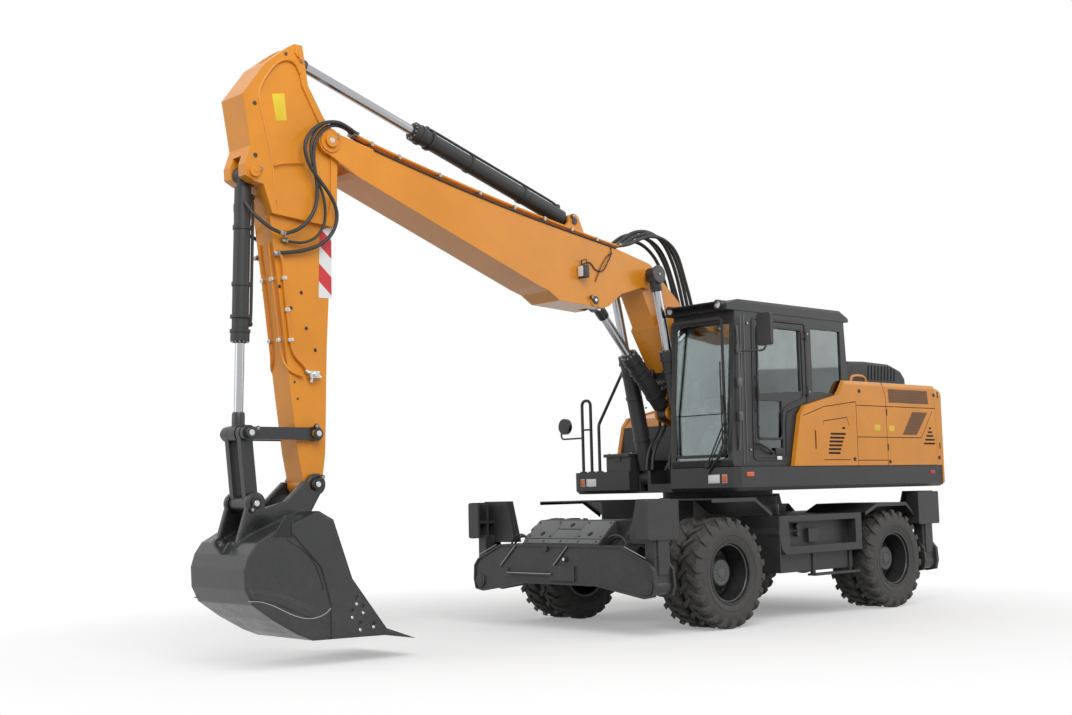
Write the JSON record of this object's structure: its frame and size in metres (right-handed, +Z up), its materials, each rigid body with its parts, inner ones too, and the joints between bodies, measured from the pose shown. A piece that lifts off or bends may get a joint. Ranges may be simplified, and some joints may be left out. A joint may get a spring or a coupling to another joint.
{
  "type": "wheeled excavator with two-piece boom",
  "caption": "Wheeled excavator with a two-piece boom, an arm and bucket, a cab on a slewing deck, twin tyres and folding outriggers at both ends.",
  "frame": {"origin": "ground level under the middle of the machine's overall length and width, parked as in the picture", "axes": "+X forward, in the direction of travel and of the boom; +Y to the machine's left, where the cab is; +Z up"},
  "size_m": [8.9999, 2.9999, 5.11],
  "materials": {
    "amber_paint": "gloss",
    "grey_paint": "semi-gloss",
    "black_paint": "satin",
    "rod_chrome": "polished",
    "cast_metal": "rough",
    "tyre_rubber": "matt",
    "tinted_glass": "clear",
    "cab_plastic": "matt",
    "lamp_lens": "clear"
  },
  "bodies": {
    "chassis": {"chassis_frame": "grey_paint", "fenders": "grey_paint", "side_boxes": "grey_paint", "slew_ring": "cast_metal", "front_axle": "cast_metal", "rear_axle": "cast_metal", "driveshaft": "cast_metal"},
    "upper": {"upper_frame": "grey_paint", "deck_lamps": "lamp_lens", "side_covers": "amber_paint", "counterweight": "amber_paint", "engine_bay": "grey_paint", "engine": "cast_metal", "right_body": "grey_paint", "tank_cover": "amber_paint", "toolbox": "grey_paint", "handrails": "black_paint", "cab_frame": "grey_paint", "cab_roof": "grey_paint", "cab_glass": "tinted_glass", "seat": "cab_plastic"},
    "door": {"door": "grey_paint", "door_glass": "tinted_glass"},
    "hood": {"engine_hood": "grey_paint"},
    "lower_boom": {"lower_boom": "amber_paint"},
    "upper_boom": {"upper_boom": "amber_paint"},
    "arm": {"arm": "amber_paint"},
    "bucket": {"bucket": "black_paint"},
    "side_links": {"side_links": "black_paint"},
    "rocker": {"rocker": "black_paint"},
    "boom_barrel": {"boom_cylinder_barrel": "grey_paint"},
    "boom_rod": {"boom_cylinder_rod": "rod_chrome"},
    "adjust_barrel": {"adjust_cylinder_barrel": "grey_paint"},
    "adjust_rod": {"adjust_cylinder_rod": "rod_chrome"},
    "arm_barrel": {"arm_cylinder_barrel": "grey_paint"},
    "arm_rod": {"arm_cylinder_rod": "rod_chrome"},
    "bucket_barrel": {"bucket_cylinder_barrel": "grey_paint"},
    "bucket_rod": {"bucket_cylinder_rod": "rod_chrome"},
    "knuckle_left": {"knuckle_left": "cast_metal"},
    "knuckle_right": {"knuckle_right": "cast_metal"},
    "wheel_front_left": {"rim_front_left": "black_paint", "tyres_front_left": "tyre_rubber"},
    "leg_front_left": {"leg_front_left": "grey_paint"},
    "wheel_front_right": {"rim_front_right": "black_paint", "tyres_front_right": "tyre_rubber"},
    "leg_front_right": {"leg_front_right": "grey_paint"},
    "wheel_rear_left": {"rim_rear_left": "black_paint", "tyres_rear_left": "tyre_rubber"},
    "leg_rear_left": {"leg_rear_left": "grey_paint"},
    "wheel_rear_right": {"rim_rear_right": "black_paint", "tyres_rear_right": "tyre_rubber"},
    "leg_rear_right": {"leg_rear_right": "grey_paint"}
  },
  "joints": [
    {"name": "slew", "type": "hinge", "parent": "chassis", "child": "upper", "pos_m": [-1.65, 0, 1.3], "axis": [0, 0, 1], "continuous": true},
    {"name": "lower_boom_lift", "type": "hinge", "parent": "upper", "child": "lower_boom", "pos_m": [-1.41, 0, 1.8], "axis": [0, -1, 0], "range_deg": [-45, 20]},
    {"name": "upper_boom_lift", "type": "hinge", "parent": "lower_boom", "child": "upper_boom", "pos_m": [-0.41, 0, 3.52], "axis": [0, -1, 0], "range_deg": [-20, 30]},
    {"name": "arm_crowd", "type": "hinge", "parent": "upper_boom", "child": "arm", "pos_m": [3.502, 0, 4.326], "axis": [0, 1, 0], "range_deg": [-75, 25]},
    {"name": "bucket_curl", "type": "hinge", "parent": "arm", "child": "bucket", "pos_m": [3.65, 0, 1.444], "axis": [0, 1, 0], "range_deg": [-50, 65]},
    {"name": "door_swing", "type": "hinge", "parent": "upper", "child": "door", "pos_m": [-1.69, 1.215, 2.3], "axis": [0, 0, 1], "range_deg": [0, 110]},
    {"name": "hood_lift", "type": "hinge", "parent": "upper", "child": "hood", "pos_m": [-2.877, 0, 2.44], "axis": [0, 1, 0], "range_deg": [0, 60]},
    {"name": "boom_barrel_swing", "type": "hinge", "parent": "upper", "child": "boom_barrel", "pos_m": [-0.88, 0, 1.45], "axis": [0, -1, 0], "range_deg": [-43.07, 19.15]},
    {"name": "boom_rod_slide", "type": "slide", "parent": "boom_barrel", "child": "boom_rod", "axis": [0.2214, 0, 0.9752], "range_m": [-0.4544, 0.20206]},
    {"name": "adjust_barrel_swing", "type": "hinge", "parent": "lower_boom", "child": "adjust_barrel", "pos_m": [-0.85, 0, 2.13], "axis": [0, -1, 0], "range_deg": [-2.64, 3.96]},
    {"name": "adjust_rod_slide", "type": "slide", "parent": "adjust_barrel", "child": "adjust_rod", "axis": [0.6811, 0, 0.7322], "range_m": [-0.21515, 0.32263]},
    {"name": "arm_barrel_swing", "type": "hinge", "parent": "upper_boom", "child": "arm_barrel", "pos_m": [0.52, 0, 4.005], "axis": [0, -1, 0], "range_deg": [-1.33, 3.97]},
    {"name": "arm_rod_slide", "type": "slide", "parent": "arm_barrel", "child": "arm_rod", "axis": [0.9532, 0, 0.3023], "range_m": [-0.82094, 0.27378]},
    {"name": "bucket_barrel_swing", "type": "hinge", "parent": "arm", "child": "bucket_barrel", "pos_m": [4.221, 0, 3.971], "axis": [0, 1, 0], "range_deg": [-1.57, 2.04]},
    {"name": "bucket_rod_slide", "type": "slide", "parent": "bucket_barrel", "child": "bucket_rod", "axis": [0.0265, 0, -0.9996], "range_m": [-0.43034, 0.55938]},
    {"name": "side_link_swing", "type": "hinge", "parent": "arm", "child": "side_links", "pos_m": [3.644, 0, 1.859], "axis": [0, 1, 0], "range_deg": [-44.58, 57.95]},
    {"name": "rocker_swing", "type": "hinge", "parent": "side_links", "child": "rocker", "pos_m": [4.277, 0, 1.86], "axis": [0, 1, 0], "range_deg": [-40.82, 31.41]},
    {"name": "steer_left", "type": "hinge", "parent": "chassis", "child": "knuckle_left", "pos_m": [-0.33, 0.64, 0.527], "axis": [0, 0, 1], "range_deg": [-30, 30]},
    {"name": "steer_right", "type": "hinge", "parent": "chassis", "child": "knuckle_right", "pos_m": [-0.33, -0.64, 0.527], "axis": [0, 0, 1], "range_deg": [-30, 30]},
    {"name": "roll_front_left", "type": "hinge", "parent": "knuckle_left", "child": "wheel_front_left", "pos_m": [-0.33, 0.98, 0.527], "axis": [0, 1, 0], "continuous": true},
    {"name": "roll_front_right", "type": "hinge", "parent": "knuckle_right", "child": "wheel_front_right", "pos_m": [-0.33, -0.98, 0.527], "axis": [0, 1, 0], "continuous": true},
    {"name": "roll_rear_left", "type": "hinge", "parent": "chassis", "child": "wheel_rear_left", "pos_m": [-3.13, 0.98, 0.527], "axis": [0, 1, 0], "continuous": true},
    {"name": "roll_rear_right", "type": "hinge", "parent": "chassis", "child": "wheel_rear_right", "pos_m": [-3.13, -0.98, 0.527], "axis": [0, 1, 0], "continuous": true},
    {"name": "stand_front_left", "type": "hinge", "parent": "chassis", "child": "leg_front_left", "pos_m": [0.625, 1.15, 0.455], "axis": [-1, 0, 0], "range_deg": [0, 115]},
    {"name": "stand_front_right", "type": "hinge", "parent": "chassis", "child": "leg_front_right", "pos_m": [0.625, -1.15, 0.455], "axis": [1, 0, 0], "range_deg": [0, 115]},
    {"name": "stand_rear_left", "type": "hinge", "parent": "chassis", "child": "leg_rear_left", "pos_m": [-3.83, 1.15, 0.455], "axis": [-1, 0, 0], "range_deg": [0, 115]},
    {"name": "stand_rear_right", "type": "hinge", "parent": "chassis", "child": "leg_rear_right", "pos_m": [-3.83, -1.15, 0.455], "axis": [1, 0, 0], "range_deg": [0, 115]}
  ],
  "couplings": [
    {"joint": "boom_barrel_swing", "follows": "lower_boom_lift", "ratio": 0.9569},
    {"joint": "boom_rod_slide", "follows": "lower_boom_lift", "m_per_rad": 0.5783},
    {"joint": "adjust_barrel_swing", "follows": "upper_boom_lift", "ratio": 0.1317},
    {"joint": "adjust_rod_slide", "follows": "upper_boom_lift", "m_per_rad": 0.6158},
    {"joint": "arm_barrel_swing", "follows": "arm_crowd", "ratio": -0.0528},
    {"joint": "arm_rod_slide", "follows": "arm_crowd", "m_per_rad": 0.627},
    {"joint": "bucket_barrel_swing", "follows": "bucket_curl", "ratio": 0.0312},
    {"joint": "bucket_rod_slide", "follows": "bucket_curl", "m_per_rad": 0.4929},
    {"joint": "side_link_swing", "follows": "bucket_curl", "ratio": 0.8913},
    {"joint": "rocker_swing", "follows": "bucket_curl", "ratio": -0.6279},
    {"joint": "steer_right", "follows": "steer_left", "ratio": 1}
  ]
}
